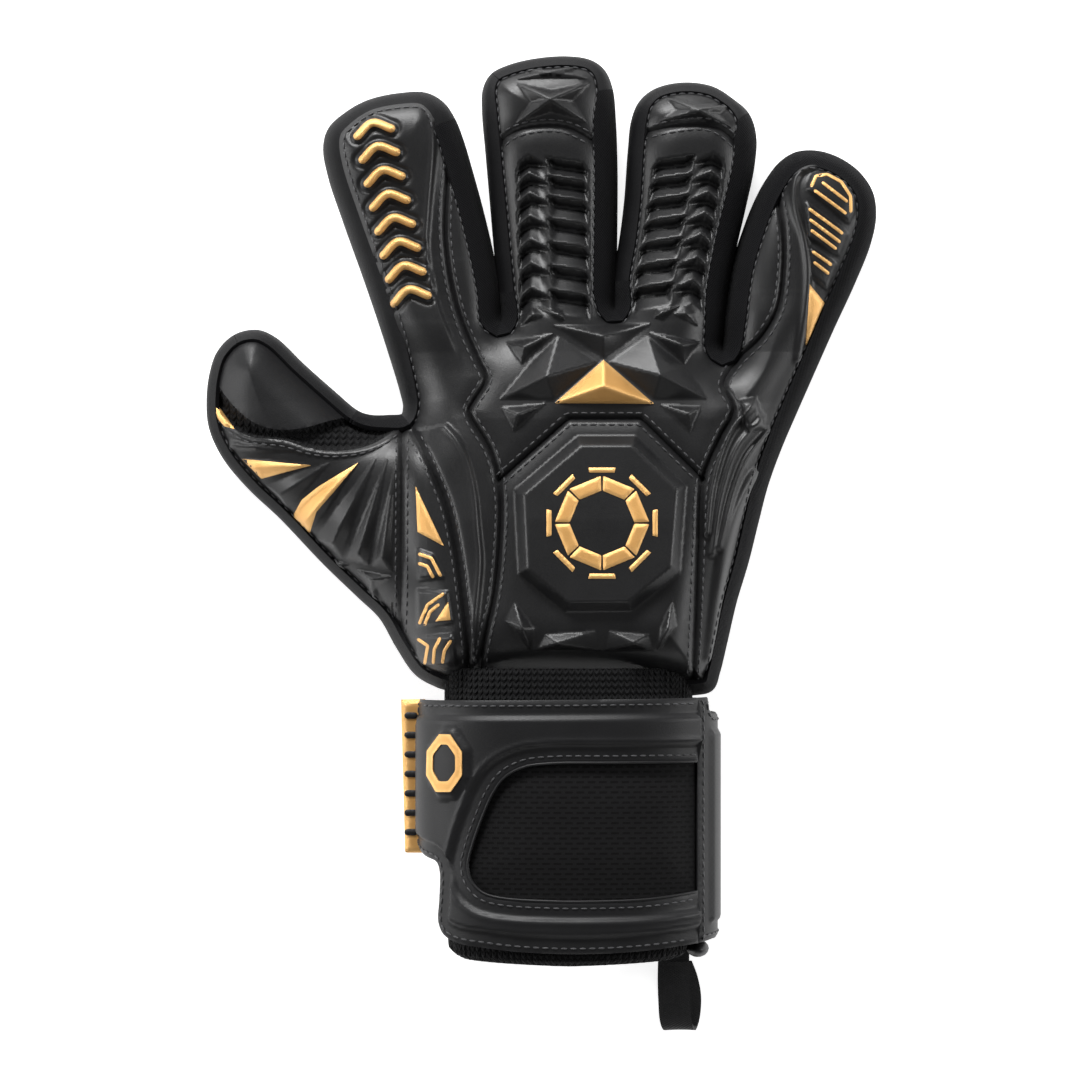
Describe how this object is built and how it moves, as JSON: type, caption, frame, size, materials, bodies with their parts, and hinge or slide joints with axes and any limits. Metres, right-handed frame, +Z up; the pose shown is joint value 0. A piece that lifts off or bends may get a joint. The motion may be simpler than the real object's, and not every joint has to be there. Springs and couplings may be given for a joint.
{
  "type": "goalkeeper glove",
  "caption": "Right-hand football goalkeeper glove with roll-finger latex palm, moulded black and gold back panels, finger spines, peel-open wrist strap and pull loop.",
  "frame": {"origin": "on the flat underside of the palm, below the middle of the octagonal pad", "axes": "+Y along the fingers, +X to the little-finger side, +Z up through the back of the hand"},
  "size_m": [0.1995, 0.2922, 0.0529],
  "materials": {
    "latex": "soft satin latex foam",
    "back_foam": "moulded foam with a satin skin",
    "textile": "fine woven textile",
    "knit": "chunky elastic knit",
    "mesh": "air mesh",
    "gold": "metallic gold foil print",
    "spine": "flexible plastic",
    "hook": "hook and loop tape"
  },
  "bodies": {
    "hand": {"palm_latex": "latex", "index_side_wall": "textile", "index_side_panel": "back_foam", "gold_trim_panel": "back_foam", "octagon_panel": "back_foam", "knuckle_panel": "back_foam", "little_side_panel": "back_foam", "wristband": "knit", "loop_patch": "hook", "strap_wrap": "latex", "loop_anchor": "textile"},
    "index_base": {"index_base_latex": "latex", "index_base_panel": "back_foam", "index_base_spine": "spine", "index_knuckle_crease": "textile"},
    "index_tip": {"index_tip_latex": "latex", "index_tip_panel": "back_foam", "index_tip_spine": "spine", "index_middle_crease": "textile"},
    "middle_base": {"middle_base_latex": "latex", "middle_base_panel": "back_foam", "middle_base_spine": "spine", "middle_knuckle_crease": "textile"},
    "middle_tip": {"middle_tip_latex": "latex", "middle_tip_panel": "back_foam", "middle_tip_spine": "spine", "middle_middle_crease": "textile"},
    "ring_base": {"ring_base_latex": "latex", "ring_base_panel": "back_foam", "ring_base_spine": "spine", "ring_knuckle_crease": "textile"},
    "ring_tip": {"ring_tip_latex": "latex", "ring_tip_panel": "back_foam", "ring_tip_spine": "spine", "ring_middle_crease": "textile"},
    "little_base": {"little_base_latex": "latex", "little_base_panel": "back_foam", "little_base_spine": "spine", "little_knuckle_crease": "textile"},
    "little_tip": {"little_tip_latex": "latex", "little_tip_panel": "back_foam", "little_tip_spine": "spine", "little_middle_crease": "textile"},
    "thumb_base": {"thumb_base_latex": "latex", "thumb_fan_panel": "back_foam", "thumb_fold_crease": "textile"},
    "thumb_tip": {"thumb_tip_latex": "latex", "thumb_tip_panel": "back_foam", "thumb_tip_crease": "textile"},
    "strap": {"strap_band": "textile", "strap_frame": "latex", "strap_mesh": "mesh", "strap_badge": "latex", "hook_patch": "hook", "pull_tab": "gold"},
    "pull_loop": {"pull_loop": "textile"}
  },
  "joints": [
    {"name": "index_knuckle", "type": "hinge", "parent": "hand", "child": "index_base", "pos_m": [-0.0416, 0.067, 0.007], "axis": [-1, 0, 0], "range_deg": [0, 50], "stiffness_Nm_per_rad": 0.3, "deforming": ["index_knuckle_crease"]},
    {"name": "index_middle_joint", "type": "hinge", "parent": "index_base", "child": "index_tip", "pos_m": [-0.04865, 0.091, 0.007], "axis": [-1, 0, 0], "range_deg": [0, 60], "stiffness_Nm_per_rad": 0.2, "deforming": ["index_middle_crease"]},
    {"name": "middle_knuckle", "type": "hinge", "parent": "hand", "child": "middle_base", "pos_m": [-0.0056, 0.068, 0.007], "axis": [-1, 0, 0], "range_deg": [0, 50], "stiffness_Nm_per_rad": 0.3, "deforming": ["middle_knuckle_crease"]},
    {"name": "middle_middle_joint", "type": "hinge", "parent": "middle_base", "child": "middle_tip", "pos_m": [-0.00615, 0.094, 0.007], "axis": [-1, 0, 0], "range_deg": [0, 60], "stiffness_Nm_per_rad": 0.2, "deforming": ["middle_middle_crease"]},
    {"name": "ring_knuckle", "type": "hinge", "parent": "hand", "child": "ring_base", "pos_m": [0.0283, 0.067, 0.007], "axis": [-1, 0, 0], "range_deg": [0, 50], "stiffness_Nm_per_rad": 0.3, "deforming": ["ring_knuckle_crease"]},
    {"name": "ring_middle_joint", "type": "hinge", "parent": "ring_base", "child": "ring_tip", "pos_m": [0.03225, 0.091, 0.007], "axis": [-1, 0, 0], "range_deg": [0, 60], "stiffness_Nm_per_rad": 0.2, "deforming": ["ring_middle_crease"]},
    {"name": "little_knuckle", "type": "hinge", "parent": "hand", "child": "little_base", "pos_m": [0.0602, 0.058, 0.007], "axis": [-1, 0, 0], "range_deg": [0, 50], "stiffness_Nm_per_rad": 0.3, "deforming": ["little_knuckle_crease"]},
    {"name": "little_middle_joint", "type": "hinge", "parent": "little_base", "child": "little_tip", "pos_m": [0.0678, 0.079, 0.007], "axis": [-1, 0, 0], "range_deg": [0, 60], "stiffness_Nm_per_rad": 0.2, "deforming": ["little_middle_crease"]},
    {"name": "thumb_fold", "type": "hinge", "parent": "hand", "child": "thumb_base", "pos_m": [-0.054, -0.004, 0.007], "axis": [0, -1, 0], "range_deg": [0, 45], "stiffness_Nm_per_rad": 0.3, "deforming": ["thumb_fold_crease"]},
    {"name": "thumb_joint", "type": "hinge", "parent": "thumb_base", "child": "thumb_tip", "pos_m": [-0.0859, 0.0247, 0.007], "axis": [-0.6558, -0.755, 0], "range_deg": [0, 50], "stiffness_Nm_per_rad": 0.2, "deforming": ["thumb_tip_crease"]},
    {"name": "strap_peel", "type": "hinge", "parent": "hand", "child": "strap", "pos_m": [0.0363, -0.0892, 0.04308], "axis": [0, 1, 0], "range_deg": [0, 110]},
    {"name": "loop_swing", "type": "hinge", "parent": "hand", "child": "pull_loop", "pos_m": [0.03, -0.1332, 0.0042], "axis": [1, 0, 0], "range_deg": [-50, 35]}
  ]
}
